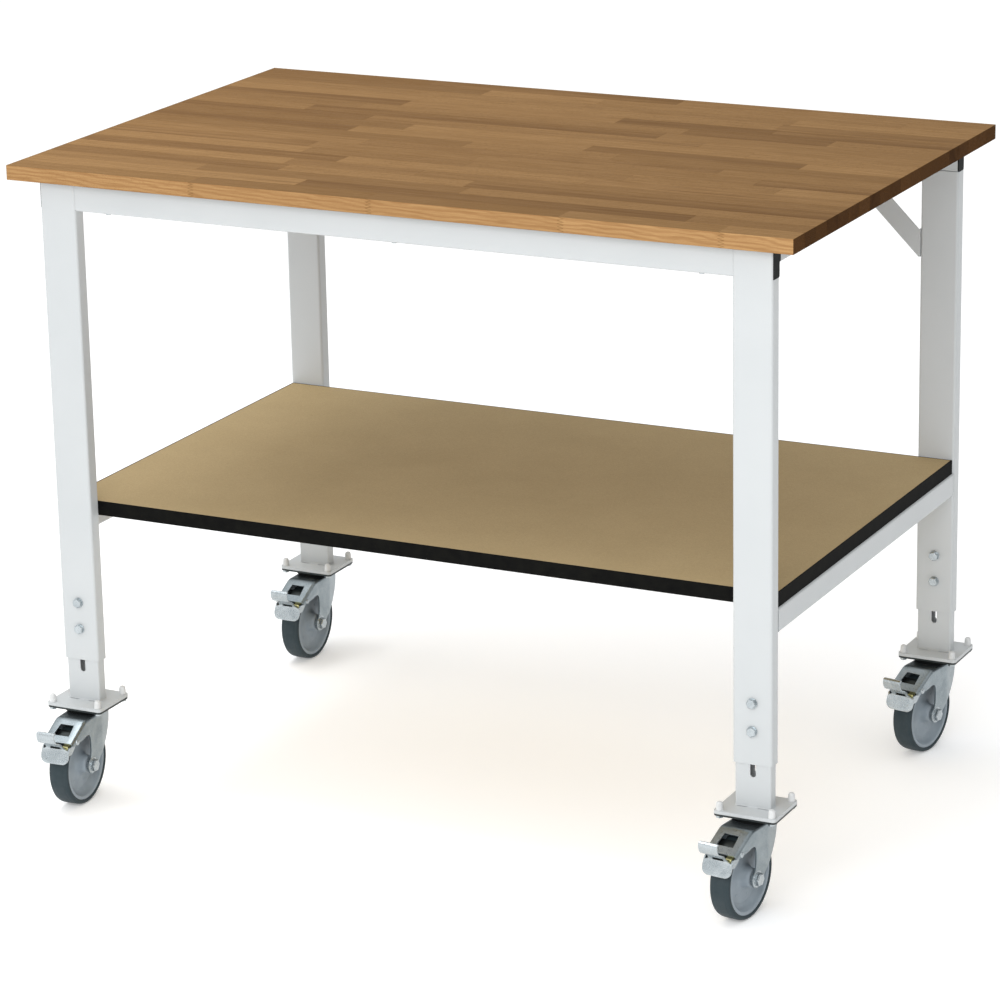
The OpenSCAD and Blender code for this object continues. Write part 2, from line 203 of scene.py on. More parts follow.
def wood(name, dark, light, deep, face, gloss):
    """Beech with a tone for each stave, growth rings, rays and pores.
    The face is top, side or end, for the way the fibres meet the surface; the colours given for each face
    also carry painted light and shade."""
    s = Shader(name)
    grain = GRAIN[face]
    attr = s.node("ShaderNodeAttribute", attribute_name="stave")
    split = s.node("ShaderNodeSeparateColor")
    s.feed(split.inputs[0], attr.outputs["Color"])
    tone, warm, seed = split.outputs[0], split.outputs[1], split.outputs[2]
    at = stave_point(s, tone, seed)
    broad = s.noise(s.scaled(grain["broad"], at), 0.55, 3.0, 0.5, 0.6)
    streaks = s.noise(s.scaled(grain["streak"], at), 1.0, 5.0, 0.65)
    rays = s.voronoi(s.scaled(grain["ray"], at))
    pores = s.voronoi(s.scaled(grain["pore"], at))
    patch = s.math("MULTIPLY", s.remap(warm, 0.55, 1.0, 0.0, 0.75), s.remap(broad, 0.35, 0.6, 0.3, 1.0))
    base = s.mix(patch, s.mix(tone, dark, light), deep)
    base = s.mix(growth_rings(s, at, face), base, deep)
    base = s.mix(s.remap(streaks, 0.38, 0.68, 0.0, 0.46), base, deep)
    if face == "top":
        lines = s.ramp(s.noise(s.scaled((3.2, 240.0, 240.0), at), 1.0, 4.0, 0.55), [(0.60, 0.0), (0.68, 1.0)])
        base = s.mix(s.math("MULTIPLY", lines, s.remap(warm, 0.3, 0.9, 0.15, 0.75)), base, deep)
    flecks = s.ramp(rays, [(0.08, 1.0), (0.30, 0.0)])
    base = s.mix(s.math("MULTIPLY", flecks, s.remap(seed, 0.2, 0.8, 0.25, 0.85)), base, deep)
    base = s.mix(s.math("MULTIPLY", s.ramp(pores, [(0.05, 1.0), (0.22, 0.0)]), 0.30), base, deep)
    s.colour(base)
    s.roughness(s.remap(streaks, 0.3, 0.7, 0.52, 0.70))
    s.shine(gloss)
    pits = s.math("MULTIPLY", s.ramp(pores, [(0.05, 1.0), (0.2, 0.0)]), 0.7)
    s.bump(s.math("SUBTRACT", streaks, pits), 0.22, 0.0004)
    return s.mat


def fibreboard():
    """Raw fibreboard: a clouded tan face with fine fibres and pale chips."""
    s = Shader("mdf")
    cloud = s.noise(s.coord, 9.0, 5.0, 0.6)
    fibre = s.noise(s.scaled((300.0, 620.0, 500.0)), 1.0, 6.0, 0.75, 1.5)
    chips = s.ramp(s.voronoi(s.scaled((420.0, 700.0, 600.0))), [(0.06, 1.0), (0.22, 0.0)])
    base = s.mix(s.remap(cloud, 0.3, 0.7, 0.0, 1.0), (0.470, 0.358, 0.192), (0.505, 0.386, 0.210))
    base = s.mix(s.remap(fibre, 0.35, 0.75, 0.0, 0.5), base, (0.215, 0.155, 0.085))
    s.colour(s.mix(s.math("MULTIPLY", chips, 0.35), base, (0.46, 0.37, 0.25)))
    s.roughness(s.remap(fibre, 0.3, 0.7, 0.62, 0.80))
    s.shine(0.06)
    s.bump(fibre, 0.15, 0.0003)
    return s.mat


def zinc(name, low, high, rough):
    """Zinc plate: cloudy passivation with faint spangles."""
    s = Shader(name)
    cloud = s.noise(s.coord, 38.0, 4.0, 0.6, 0.8)
    fine = s.noise(s.coord, 700.0, 3.0, 0.6)
    spangle = s.voronoi(s.coord, 260.0)
    base = s.mix(s.remap(cloud, 0.3, 0.7, 0.0, 1.0), low, high)
    s.colour(s.mix(s.remap(spangle, 0.0, 0.6, 0.14, 0.0), base, tuple(1.2 * v for v in high)))
    s.set(Metallic=0.92)
    s.roughness(s.remap(fine, 0.3, 0.7, rough, rough + 0.16))
    s.bump(fine, 0.06, 0.0003)
    return s.mat


def yellow_zinc():
    s = Shader("yellow_zinc")
    cloud = s.noise(s.coord, 150.0, 3.0, 0.6)
    s.colour(s.mix(cloud, (0.62, 0.60, 0.22), (0.74, 0.66, 0.38)))
    s.set(Metallic=0.9)
    s.roughness(s.remap(cloud, 0.3, 0.7, 0.28, 0.42))
    return s.mat


def moulded(name, low, high, rough, grain=900.0, strength=0.12, gloss=0.3):
    """Plastic or rubber with a fine moulded grain."""
    s = Shader(name)
    cloud = s.noise(s.coord, 60.0, 3.0, 0.55)
    fine = s.noise(s.coord, grain, 3.0, 0.6)
    s.colour(s.mix(s.remap(cloud, 0.3, 0.7, 0.0, 1.0), low, high))
    s.roughness(s.remap(fine, 0.3, 0.7, rough - 0.05, rough + 0.07))
    s.shine(gloss)
    s.bump(fine, strength, 0.0003)
    return s.mat


POWDER = powder_coat()
# The beech colours for each face are lit and shaded copies of one wood, so they hold painted light and shade.
# The side is painted lighter than the top. The end is painted darker, partly for the real darkness of end
# grain and partly as painted shade.
BEECH_TOP_PAINTED_DARKER = wood("beech_top_painted_darker", (0.172, 0.091, 0.031), (0.322, 0.184, 0.072), (0.105, 0.048, 0.013),
                 "top", 0.05)
BEECH_SIDE_PAINTED_LIGHTER = wood("beech_side_painted_lighter", (0.352, 0.202, 0.083), (0.440, 0.258, 0.110), (0.215, 0.098, 0.032),
                  "side", 0.10)
BEECH_END_GRAIN_AND_SHADE = wood("beech_end_grain_and_shade", (0.055, 0.024, 0.007), (0.110, 0.050, 0.016), (0.032, 0.013, 0.004),
                 "end", 0.01)
MDF = fibreboard()
# These two are lit and shaded copies of one zinc plate. The fork's zinc is painted darker, as painted shade
# of the dark reflections under the table. The copy for the pedal, bolts and fittings is painted lighter, as
# painted light that these parts catch.
ZINC = zinc("zinc", (0.230, 0.270, 0.290), (0.320, 0.362, 0.385), 0.24)
ZINC_PAINTED_LIGHTER = zinc("zinc_painted_lighter", (0.350, 0.390, 0.410), (0.480, 0.520, 0.540), 0.20)
# A near-black copy of the zinc, which is painted shade: for the gap under the base plate, for the fork's dark
# inside behind its window, and for between the pedal's arms.
ZINC_PAINTED_SHADE = zinc("zinc_painted_shade", (0.030, 0.036, 0.036), (0.055, 0.062, 0.062), 0.30)
YELLOW = yellow_zinc()
BAND = moulded("edge_band", (0.004, 0.004, 0.004), (0.007, 0.007, 0.006), 0.60, gloss=0.03)
BLACK = moulded("black_plastic", (0.005, 0.006, 0.006), (0.010, 0.011, 0.011), 0.50, gloss=0.05)
WHITE = moulded("white_plastic", (0.58, 0.59, 0.59), (0.64, 0.65, 0.65), 0.34)
CORE = moulded("wheel_grey", (0.252, 0.295, 0.332), (0.290, 0.335, 0.372), 0.42)
TYRE = moulded("tyre", (0.024, 0.038, 0.044), (0.034, 0.048, 0.055), 0.55, grain=420.0, strength=0.2,
               gloss=0.2)

# ------------------------------------------------------------- mesh helpers


def lathe(bm, profile, matrix, closed=False, count=56):
    """Turns (radius, height) points about the matrix's Z axis."""
    rings = []
    for r, h in profile:
        if r < 1e-6:
            rings.append([bm.verts.new(matrix @ Vector((0, 0, h)))])
            continue
        rings.append([bm.verts.new(matrix @ Vector((r * math.cos(a), r * math.sin(a), h)))
                      for a in (2 * math.pi * i / count for i in range(count))])
    pairs = list(zip(rings, rings[1:]))
    if closed:
        pairs.append((rings[-1], rings[0]))
    for a, b in pairs:
        for i in range(count):
            j = (i + 1) % count
            quad = [a[i % len(a)], a[j % len(a)], b[j % len(b)], b[i % len(b)]]
            quad = list(dict.fromkeys(quad))
            if len(quad) > 2:
                bm.faces.new(quad)


def prism(bm, rings, matrix):
    """Joins rings of equal length, given as lists of points, and caps both ends."""
    made = [[bm.verts.new(matrix @ Vector(p)) for p in ring] for ring in rings]
    count = len(made[0])
    for a, b in zip(made, made[1:]):
        for i in range(count):
            j = (i + 1) % count
            bm.faces.new((a[i], a[j], b[j], b[i]))
    bm.faces.new(made[0][::-1])
    bm.faces.new(made[-1])


def hexagon(af, z, grow=1.0):
    r = af / 2 / math.cos(math.pi / 6) * grow
    return [(r * math.cos(a), r * math.sin(a), z) for a in (math.pi / 3 * i for i in range(6))]


def hex_head(bm, af, height, matrix, chamfer=0.9 * MM):
    prism(bm, [hexagon(af, 0), hexagon(af, height - chamfer), hexagon(af, height, 0.86)], matrix)


def hex_nut(bm, af, height, matrix, chamfer=0.8 * MM):
    prism(bm, [hexagon(af, 0, 0.9), hexagon(af, chamfer), hexagon(af, height - chamfer),
               hexagon(af, height, 0.88)], matrix)


def thread(bm, r, start, end, pitch, matrix):
    """A bolt's shank with ridges for its turns."""
    profile = [(0, start), (r * 0.86, start)]
    turns = max(1, int((end - start) / pitch))
    for k in range(turns):
        z = start + k * pitch
        profile += [(r, z + 0.45 * pitch), (r * 0.88, z + 0.95 * pitch)]
    profile += [(r * 0.8, end), (0, end)]
    lathe(bm, profile, matrix, count=20)


def washer(bm, r, hole, height, matrix):
    c = 0.25 * MM
    lathe(bm, [(hole, 0), (r - c, 0), (r, c), (r, height - c), (r - c, height), (hole, height)],
          matrix, closed=True, count=32)


def tube(bm, points, radius, ripple, sides=8):
    """A bead along a closed path, with a ripple as a weld has."""
    count = len(points)
    rings = []
    for i, p in enumerate(points):
        ahead = (points[(i + 1) % count] - points[i - 1]).normalized()
        up = Vector((0, 0, 1)) if abs(ahead.z) < 0.9 else Vector((0, 1, 0))
        across = ahead.cross(up).normalized()
        up = across.cross(ahead)
        r = radius * (1 + ripple * math.sin(i * 2.4))
        rings.append([bm.verts.new(p + r * (math.cos(a) * across + math.sin(a) * up))
                      for a in (2 * math.pi * k / sides for k in range(sides))])
    for a, b in zip(rings, rings[1:] + rings[:1]):
        for k in range(sides):
            j = (k + 1) % sides
            bm.faces.new((a[k], a[j], b[j], b[k]))


def round_edges(obj, name, width, degrees, segments=2, harden=False):
    m = obj.modifiers.new(name, "BEVEL")
    m.width = width
    m.segments = segments
    m.limit_method = "ANGLE"
    m.angle_limit = math.radians(degrees)
    m.harden_normals = harden


def add(bm, name, body, slot, materials, replaces=(), smooth=40.0, bevel=0.0, solid=0.0, at=None):
    """Makes a piece of the bmesh, which may be used again, and puts it on its body."""
    bmesh.ops.recalc_face_normals(bm, faces=bm.faces)
    mesh = bpy.data.meshes.new(name)
    bm.to_mesh(mesh)
    if at is not None:
        mesh.transform(at)
    for m in materials:
        mesh.materials.append(m)
    for poly in mesh.polygons:
        poly.use_smooth = True
    mesh.set_sharp_from_angle(angle=math.radians(smooth))
    obj = bpy.data.objects.new(name, mesh)
    bpy.context.scene.collection.objects.link(obj)
    if solid:
        m = obj.modifiers.new("sheet", "SOLIDIFY")
        m.thickness = solid
        m.offset = 0
        m.use_even_offset = True
    if bevel:
        round_edges(obj, "edge", bevel, 38, harden=True)
    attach(obj, body)
    if replaces:
        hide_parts(*replaces)
    return obj


def span(node):
    """Low corner, high corner and middle of a CAD node."""
    lo, hi = (Vector(c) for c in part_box(node))
    return lo, hi, (lo + hi) / 2


# ---------------------------------------------------------------- worktop

top_lo, top_hi, top_mid = span("worktop")
ROWS = 20
FRONT_LENGTHS = (0.31, 0.29, 0.30, 0.24)
SHORTEST, LONGEST = 0.20, 0.62
LAST_STAVE = 0.10
TEETH = 5
FINGER = 9 * MM


def stave_end(x, z0, z1, inside):
    """The end of a stave in XZ, with finger joints where it lies inside the worktop."""
    step = (z1 - z0) / TEETH / 2
    return [(x + (FINGER if k % 2 and inside else 0), z0 + k * step) for k in range(2 * TEETH + 1)]


def stave_outline(x0, x1, z0, z1, fingers):
    """Outline in XZ, with fingers only where the joint shows on a long edge."""
    if not fingers:
        return [(x0, z0), (x1, z0), (x1, z1), (x0, z1)]
    return stave_end(x1, z0, z1, x1 < top_hi.x) + stave_end(x0, z0, z1, x0 > top_lo.x)[::-1]


def build_stave(bm, paint, outline, y0, y1, colour):
    """A stave from y0 to y1, painted with its tone, warmth and pattern seed."""
    a = [bm.verts.new((px, y0, pz)) for px, pz in outline]
    b = [bm.verts.new((px, y1, pz)) for px, pz in outline]
    faces = [bm.faces.new(a), bm.faces.new(b[::-1])]
    for i in range(len(a)):
        j = (i + 1) % len(a)
        faces.append(bm.faces.new((a[i], b[i], b[j], a[j])))
    for face in faces:
        for loop in face.loops:
            loop[paint] = colour


def build_worktop():
    bm = bmesh.new()
    paint = bm.loops.layers.float_color.new("stave")
    width = (top_hi.y - top_lo.y) / ROWS
    for row in range(ROWS):
        y0 = top_lo.y + row * width
        x = top_lo.x
        stock = list(FRONT_LENGTHS if row == 0 else ())
        while x < top_hi.x - 1e-6:
            end = x + (stock.pop(0) if stock else random.uniform(SHORTEST, LONGEST))
            if end > top_hi.x - LAST_STAVE:
                end = top_hi.x
            outline = stave_outline(x, end, top_lo.z, top_hi.z, row in (0, ROWS - 1))
            tone = random.triangular(0.05, 1.0, 0.72)
            build_stave(bm, paint, outline, y0, y0 + width, (tone, random.random(), random.random(), 1.0))
            x = end
    bm.normal_update()
    # Each face takes the beech copy for its direction; the colours of these copies carry painted light and
    # shade.
    for face in bm.faces:
        n = face.normal
        face.material_index = 0 if abs(n.z) > 0.7 else (1 if abs(n.y) > 0.7 else 2)
    obj = add(bm, "worktop_staves", "frame", "beech", [BEECH_TOP_PAINTED_DARKER, BEECH_SIDE_PAINTED_LIGHTER, BEECH_END_GRAIN_AND_SHADE], ["worktop"])
    round_edges(obj, "glue_line", 0.25 * MM, 30, segments=1)


build_worktop()

# ------------------------------------------------ CAD nodes that stay as built

# Each node's material, and the width of its edge bevels in millimetres.
KEEP = {
    "front_apron": (POWDER, 0.3),
    "back_apron": (POWDER, 0.3),
    "left_end_rail": (POWDER, 0.3),
    "right_end_rail": (POWDER, 0.3),
    "left_shelf_rail": (POWDER, 0.3),
    "right_shelf_rail": (POWDER, 0.3),
    "left_brace": (POWDER, 0.5),
    "right_brace": (POWDER, 0.5),
    "brace_bolts": (ZINC_PAINTED_LIGHTER, 0.3),
    "top_screws": (ZINC_PAINTED_LIGHTER, 0.2),
    "tube_end_caps": (BLACK, 0.4),
    "shelf_board": (MDF, 0.2),
    "shelf_edge_band": (BAND, 0.3),
}
for c in CORNERS:
    KEEP[f"outer_leg_{c}"] = (POWDER, 0.3)
    KEEP[f"inner_leg_{c}"] = (POWDER, 0.4)
    # The caster plate is near black: painted shadow of the gap under the base plate.
    KEEP[f"caster_plate_{c}"] = (ZINC_PAINTED_SHADE, 0.5)
    KEEP[f"swivel_seal_{c}"] = (BLACK, 0.5)
for name, (mat, width) in KEEP.items():
    obj = NODES[name]
    if obj.material_slots:
        for s in obj.material_slots:
            s.material = mat
    else:
        obj.data.materials.append(mat)
    round_edges(obj, "edge", width * MM, 50)

# ---------------------------------------------------------------- leg bolts

BOLT_R, BOLT_AF, BOLT_PITCH = 4 * MM, 13 * MM, 1.25 * MM
BOLT_HEAD, BOLT_NUT = 5.3 * MM, 6.5 * MM
BOLT_START, BOLT_END = -25 * MM, 11 * MM
WASHER_R, WASHER_HOLE, WASHER = 8 * MM, 4.1 * MM, 1.6 * MM


def build_leg_bolts():
    """Two clamp bolts through each leg, with a washer at each end and a nut behind."""
    bm = bmesh.new()
    lo, hi, _ = span("leg_bolts")
    lift = Matrix.Translation((0, 0, WASHER))
    for c in CORNERS:
        leg_lo, leg_hi, leg_mid = span(f"outer_leg_{c}")
        for z in (lo.z + WASHER_R, hi.z - WASHER_R):
            face = Matrix.Translation((leg_mid.x, leg_lo.y, z)) @ Matrix.Rotation(math.pi / 2, 4, "X")
            back = Matrix.Translation((leg_mid.x, leg_hi.y, z)) @ Matrix.Rotation(-math.pi / 2, 4, "X")
            turn = Matrix.Rotation(random.uniform(0, 1), 4, "Z")
            washer(bm, WASHER_R, WASHER_HOLE, WASHER, face)
            hex_head(bm, BOLT_AF, BOLT_HEAD, face @ lift @ turn)
            washer(bm, WASHER_R, WASHER_HOLE, WASHER, back)
            hex_nut(bm, BOLT_AF, BOLT_NUT, back @ lift @ turn)
            thread(bm, BOLT_R, BOLT_START, BOLT_END, BOLT_PITCH, back)
    add(bm, "leg_bolt_set", "frame", "zinc", [ZINC_PAINTED_LIGHTER], ["leg_bolts"], smooth=30, bevel=0.25 * MM)


build_leg_bolts()

# ------------------------------------------------------------ foot and caster
# Local frame of a caster, in millimetres: origin on the floor under the swivel axis,
# x to the right, u towards the pedal, z up. PLATE_Z is the joint between the caster
# plate and the base plate above it, and a drop is a distance below that.

PLATE_Z = span("caster_plate_fl")[1].z / MM
AXLE_Z = span("tyre_fl")[2].z / MM
PEDAL_REACH = (span("caster_plate_bl")[2].y - span("brake_pedal_bl")[0].y) / MM
TRAIL = (span("caster_plate_fl")[2] - span("tyre_fl")[2]).xy.length / MM
FOOT_PLACE, SWIVEL_PLACE = {}, {}
for c in CORNERS:
    mid = span(f"caster_plate_{c}")[2]
    behind = span(f"tyre_{c}")[2] - mid
    turn = math.atan2(behind.x, -behind.y)
    FOOT_PLACE[c] = Matrix.Translation((mid.x, mid.y, 0))
    SWIVEL_PLACE[c] = FOOT_PLACE[c] @ Matrix.Rotation(turn, 4, "Z")


def local(x, u, z):
    return Vector((x * MM, -u * MM, z * MM))


ALONG_X = Matrix.Rotation(math.pi / 2, 4, "Y")


def axle_frame(x=0.0, u=None, z=None):
    """A frame at the axle, or at another cross point, with Z along +X."""
    return Matrix.Translation(local(x, TRAIL if u is None else u, AXLE_Z if z is None else z)) @ ALONG_X


def facing(side):
    """Turns what is made for the right side, so that it serves the given side."""
    return Matrix.Identity(4) if side > 0 else Matrix.Rotation(math.pi, 4, "X")


def scaled(profile):
    return [(r * MM, h * MM) for r, h in profile]


def two_sided(half):
    """A profile's right half, followed by its mirror image."""
    return half + [(r, -h) for r, h in half[::-1]]


def build_block(points, x0, x1):
    """An outline of (u, drop) points, drawn out from x0 to x1."""
    bm = bmesh.new()
    rings = [[local(x, u, PLATE_Z - drop) for u, drop in points] for x in (x0, x1)]
    prism(bm, rings, Matrix.Identity(4))
    return bm


# The fork, by the middle of its sheet. Its top slopes down past CROWN_FOLD, and its
# sides close in behind NECK_FOLD. Both bends reach BEND to either side of the fold.
FORK_HALF = 25.25
FORK_SHEET = 2.5
CORNER_R = 4.0
BEND = 5
CROWN_DROP, CROWN_FOLD, CROWN_SLOPE = 12.5, 55.2, 22.35 / 43.2
NECK_FOLD, NECK_LEAN = 8.0, 0.21
WINDOW_START, WINDOW_END, WINDOW_HALF, WINDOW_SPREAD = 64, 88, 11.2, 0.10
BOSS_R = 13.6
STATIONS = [-28, -20, -12, -4, 3, 5.5, 8, 10.5, 13, 20, 30, 40, 50.2, 52.7, 55.2, 57.7, 60.2,
            66, 74, 86, 92, 98.6]
LOWER_EDGE = [(98.2, 112.6), (96.5, 110.6), (93.5, 110.1), (70, 111.4), (62, 112.6), (56, 114.2),
              (51, 114.3), (47, 112.6), (44.4, 109.0), (43.1, 104.0), (42.7, 96.0), (43.0, 86.0),
              (44.4, 78.0), (47.6, 74.4)]
REAR_EDGE = [(33.8, 50.5), (29.5, 55.0), (24.0, 61.0), (17, 66.8), (9, 73.0), (0, 80.2), (-8, 87.0),
             (-15, 94.5), (-21, 102.5), (-25.4, 111.0), (-27.6, 120.0), (-28, 126.0)]


def crown_height(u):
    """Height of the middle of the fork's top sheet at u."""
    flat = PLATE_Z - CROWN_DROP
    reach = u - CROWN_FOLD
    if reach < -BEND:
        return flat
    if reach < BEND:
        return flat - CROWN_SLOPE * (reach + BEND) ** 2 / (4 * BEND)
    return flat - CROWN_SLOPE * reach


def cheek_x(u):
    """Half width of the fork at u."""
    if u > NECK_FOLD + BEND:
        return FORK_HALF
    if u > NECK_FOLD - BEND:
        return FORK_HALF - NECK_LEAN * (NECK_FOLD + BEND - u) ** 2 / (4 * BEND)
    return FORK_HALF - NECK_LEAN * (NECK_FOLD - u)


def fork_cheek(bm, side):
    """One side of the fork: a flat outline, cut at the stations of the neck and bent."""
    top = [(u, crown_height(u) - CORNER_R) for u in STATIONS]
    boss = [(TRAIL + BOSS_R * math.cos(a), AXLE_Z + BOSS_R * math.sin(a))
            for a in (math.radians(58 - d) for d in range(0, 179, 12))]
    outline = top + LOWER_EDGE + boss + REAR_EDGE
    verts = [bm.verts.new(local(side * FORK_HALF, u, z)) for u, z in outline]
    face = bm.faces.new(verts)
    geom = [face] + list(face.edges) + verts
    for u in (u for u in STATIONS if u <= NECK_FOLD + BEND):
        cut = bmesh.ops.bisect_plane(bm, geom=geom, plane_co=local(0, u, 0), plane_no=(0, 1, 0),
                                     dist=1e-7)
        geom = cut["geom"]
    for v in {v for v in geom if isinstance(v, bmesh.types.BMVert)}:
        v.co.x = side * cheek_x(-v.co.y / MM) * MM


def fork_crown(bm):
    """The top sheet with its rounded shoulders and its window."""
    rows = []
    for u in STATIONS:
        z = crown_height(u)
        hx = cheek_x(u)
        across = []
        for a in (math.radians(d) for d in (0, 22.5, 45, 67.5, 90)):
            across.append((hx - CORNER_R + CORNER_R * math.cos(a), z - CORNER_R + CORNER_R * math.sin(a)))
        rim = len(across)
        hole = WINDOW_HALF + (u - WINDOW_START) * WINDOW_SPREAD
        across += [(hole, z), (hole - 2.2, z), (0, z)]
        rows.append([bm.verts.new(local(x, u, h)) for x, h in across]
                    + [bm.verts.new(local(-x, u, h)) for x, h in across[-2::-1]])
    for k, (a, b) in enumerate(zip(rows, rows[1:])):
        window = WINDOW_START < (STATIONS[k] + STATIONS[k + 1]) / 2 < WINDOW_END
        for i in range(len(a) - 1):
            if window and rim <= i < len(a) - 1 - rim:
                continue
            bm.faces.new((a[i], a[i + 1], b[i + 1], b[i]))


def build_fork():
    bm = bmesh.new()
    for side in (-1, 1):
        fork_cheek(bm, side)
    fork_crown(bm)
    bmesh.ops.remove_doubles(bm, verts=bm.verts, dist=0.02 * MM)
    return bm


def build_fork_details():
    """Race dome, the ring under the crown, embossed axle rings and the pedal's pins."""
    bm = bmesh.new()
    up = Matrix.Translation((0, 0, (PLATE_Z - 13.7) * MM))
    dome = [(7.2, 0), (26, 0), (28.5, 0.3), (30.4, 1.2), (31.2, 2.4), (31.2, 3.6), (30.6, 4.2),
            (29.5, 4.35), (7.2, 4.35)]
    lathe(bm, scaled(dome), up, closed=True)
    under = [(7.6, 0), (12.5, 0), (12.2, -1.6), (10.5, -2.6), (7.6, -2.8)]
    lathe(bm, scaled(under), up, closed=True, count=40)
    ring = [(6.1, -0.3), (12.6, -0.3), (12.2, 0.35), (11.2, 0.7), (6.1, 0.7)]
    pin = [(0, -5.4), (3.0, -5.4), (3.0, 0), (4.6, 0), (4.3, 0.9), (3.2, 1.7), (1.6, 2.1), (0, 2.2)]
    for side in (-1, 1):
        x = side * 26.45
        lathe(bm, scaled(ring), axle_frame(x) @ facing(side), closed=True, count=40)
        lathe(bm, scaled(pin), axle_frame(x, 84, PLATE_Z - 36) @ facing(side), count=28)
    return bm


# The pedal: (u, drop, half width) from the tread plate's lower lip up to the rolled tab.
# Past TAB_START the tab stretches, so that it ends where the CAD pedal ends.
PEDAL = [(111.9, 64.2, 15.0), (111.7, 63.0, 18.5), (111.1, 60.6, 21.6), (110.0, 57.0, 23.3),
         (108.6, 52.4, 23.8), (106.6, 46.5, 23.6), (105.4, 43.4, 21.4), (105.2, 41.8, 17.0),
         (106.4, 39.4, 14.8), (108.8, 36.2, 14.6), (112.6, 32.2, 14.6), (118.6, 28.8, 14.8),
         (124.8, 26.4, 15.0), (128.8, 24.0, 15.0), (131.4, 20.6, 15.0), (133.0, 16.6, 15.0),
         (133.6, 12.6, 15.0), (132.8, 9.6, 15.0), (130.8, 8.2, 14.8), (128.6, 8.6, 14.4),
         (127.6, 10.2, 14.2)]
TAB_START, DRAWN_REACH = 105, 135
TREAD_ROWS, DISH = 6, 1.3
SLOT_ROWS, HOLE_ROW = (7, 8), 10
PEDAL_ARM = [(79.6, 39.6), (78.6, 36), (79.8, 33.0), (83.0, 32.4), (88, 33.8), (97, 39.2),
             (103.0, 39.6), (105.0, 42.2), (107.0, 48.0), (104, 51.4), (97, 51.6), (92, 48.0),
             (84.6, 41.4)]
ARM_X = 22.15
# What shows of the brake: a tongue and a bar between the pedal's arms, and the sheet between the tyre and the
# fork's window. The bar and the sheet are real brake parts, but they are coloured near black as painted shade
# of the fork's inside.
TONGUE = [(92.0, 45.0), (102.4, 44.2), (102.2, 38.6), (92.0, 37.4)]
LINK = [(92.6, 45.0), (101.6, 44.0), (101.4, 38.8), (92.6, 37.8)]
BRAKE_PLATE = [(64.0, 26.6), (70.0, 28.6), (77.0, 32.6), (83.0, 37.4), (88.0, 42.6)]
BRAKE_PLATE += [(u - 0.8, drop + 1.6) for u, drop in BRAKE_PLATE[::-1]]


def build_pedal():
    """The tread plate, its tab and the two arms, by the middle of the sheet."""
    bm = bmesh.new()
    stretch = (PEDAL_REACH - DRAWN_REACH) / (DRAWN_REACH - TAB_START)
    fractions = [-1, -0.94, -0.86, -0.66, -0.5, -0.25, 0, 0.25, 0.5, 0.66, 0.86, 0.94, 1]
    rows = []
    for k, (u, drop, half) in enumerate(PEDAL):
        u += stretch * max(0, u - TAB_START)
        dish = DISH if k < TREAD_ROWS else 0.0
        rows.append([bm.verts.new(local(f * half, u - dish * f * f, PLATE_Z - drop)) for f in fractions])
    for k, (a, b) in enumerate(zip(rows, rows[1:])):
        for i in range(len(a) - 1):
            if (k in SLOT_ROWS and 4 <= i <= 8) or (k == HOLE_ROW and i in (3, 8)):
                continue
            bm.faces.new((a[i], a[i + 1], b[i + 1], b[i]))
    for side in (-1, 1):
        bm.faces.new([bm.verts.new(local(side * ARM_X, u, PLATE_Z - drop)) for u, drop in PEDAL_ARM])
    return bm


def build_grips():
    """Raised grip dots on the tread plate, in three staggered rows."""
    bm = bmesh.new()
    pitch, row_pitch, lean = 6.4, 3.6, 0.36
    dot = scaled([(0, 0.9), (0.7, 0.8), (1.1, 0.4), (1.2, -0.4), (0, -0.4)])
    for row in range(3):
        for col in range(5):
            x = (col - 2) * pitch + (pitch / 2 if row % 2 else 0) - pitch / 4
            z = PLATE_Z - 58.5 + row * row_pitch
            u = 110.9 - (z - (PLATE_Z - 60)) * lean + 0.55
            place = Matrix.Translation(local(x, u, z)) @ Matrix.Rotation(math.radians(70), 4, "X")
            lathe(bm, dot, place, count=16)
    return bm


def build_core():
    """The wheel's plastic core, with a circle of dots and a raised ring on each side."""
    bm = bmesh.new()
    half = [(5.98, 20.0), (11.6, 20.0), (12.8, 19.4), (13.6, 18.0), (14.4, 14.0), (15.6, 9.4),
            (17.2, 6.6), (20.0, 4.9), (25.0, 4.1), (38.0, 3.9), (42.6, 4.4), (46.0, 6.4), (48.2, 9.6),
            (49.4, 12.6), (50.2, 14.0), (51.4, 14.7), (54.0, 14.8), (55.4, 14.4), (55.45, 12.0)]
    lathe(bm, scaled(two_sided(half)), axle_frame(), closed=True, count=88)
    dots, dot_circle, disc_face = 6, 31 * MM, 3.9 * MM
    dot = [(0, 0.5), (1.9, 0.5), (2.2, 0.3), (2.3, -0.3), (0, -0.3)]
    bead = [(40.2, 3.7), (40.6, 4.45), (41.2, 4.5), (41.8, 3.9)]
    for side in (-1, 1):
        frame_here = axle_frame() @ facing(side)
        for k in range(dots):
            a = 2 * math.pi / dots * k + 0.3
            spot = Matrix.Translation((dot_circle * math.cos(a), dot_circle * math.sin(a), disc_face))
            lathe(bm, scaled(dot), frame_here @ spot, count=20)
        lathe(bm, scaled(bead), frame_here, closed=True, count=88)
    return bm


def build_tyre():
    """The tread, with a fine groove near each shoulder."""
    bm = bmesh.new()
    half = [(55.5, 14.9), (56.6, 15.7), (58.4, 16.0), (59.8, 15.7), (61.1, 14.7), (61.9, 12.8),
            (62.3, 10.2), (62.32, 9.9), (62.22, 9.7), (62.34, 9.5), (62.45, 6.0), (62.5, 2.0)]
    lathe(bm, scaled(two_sided(half)), axle_frame(), closed=True, count=112)
    return bm


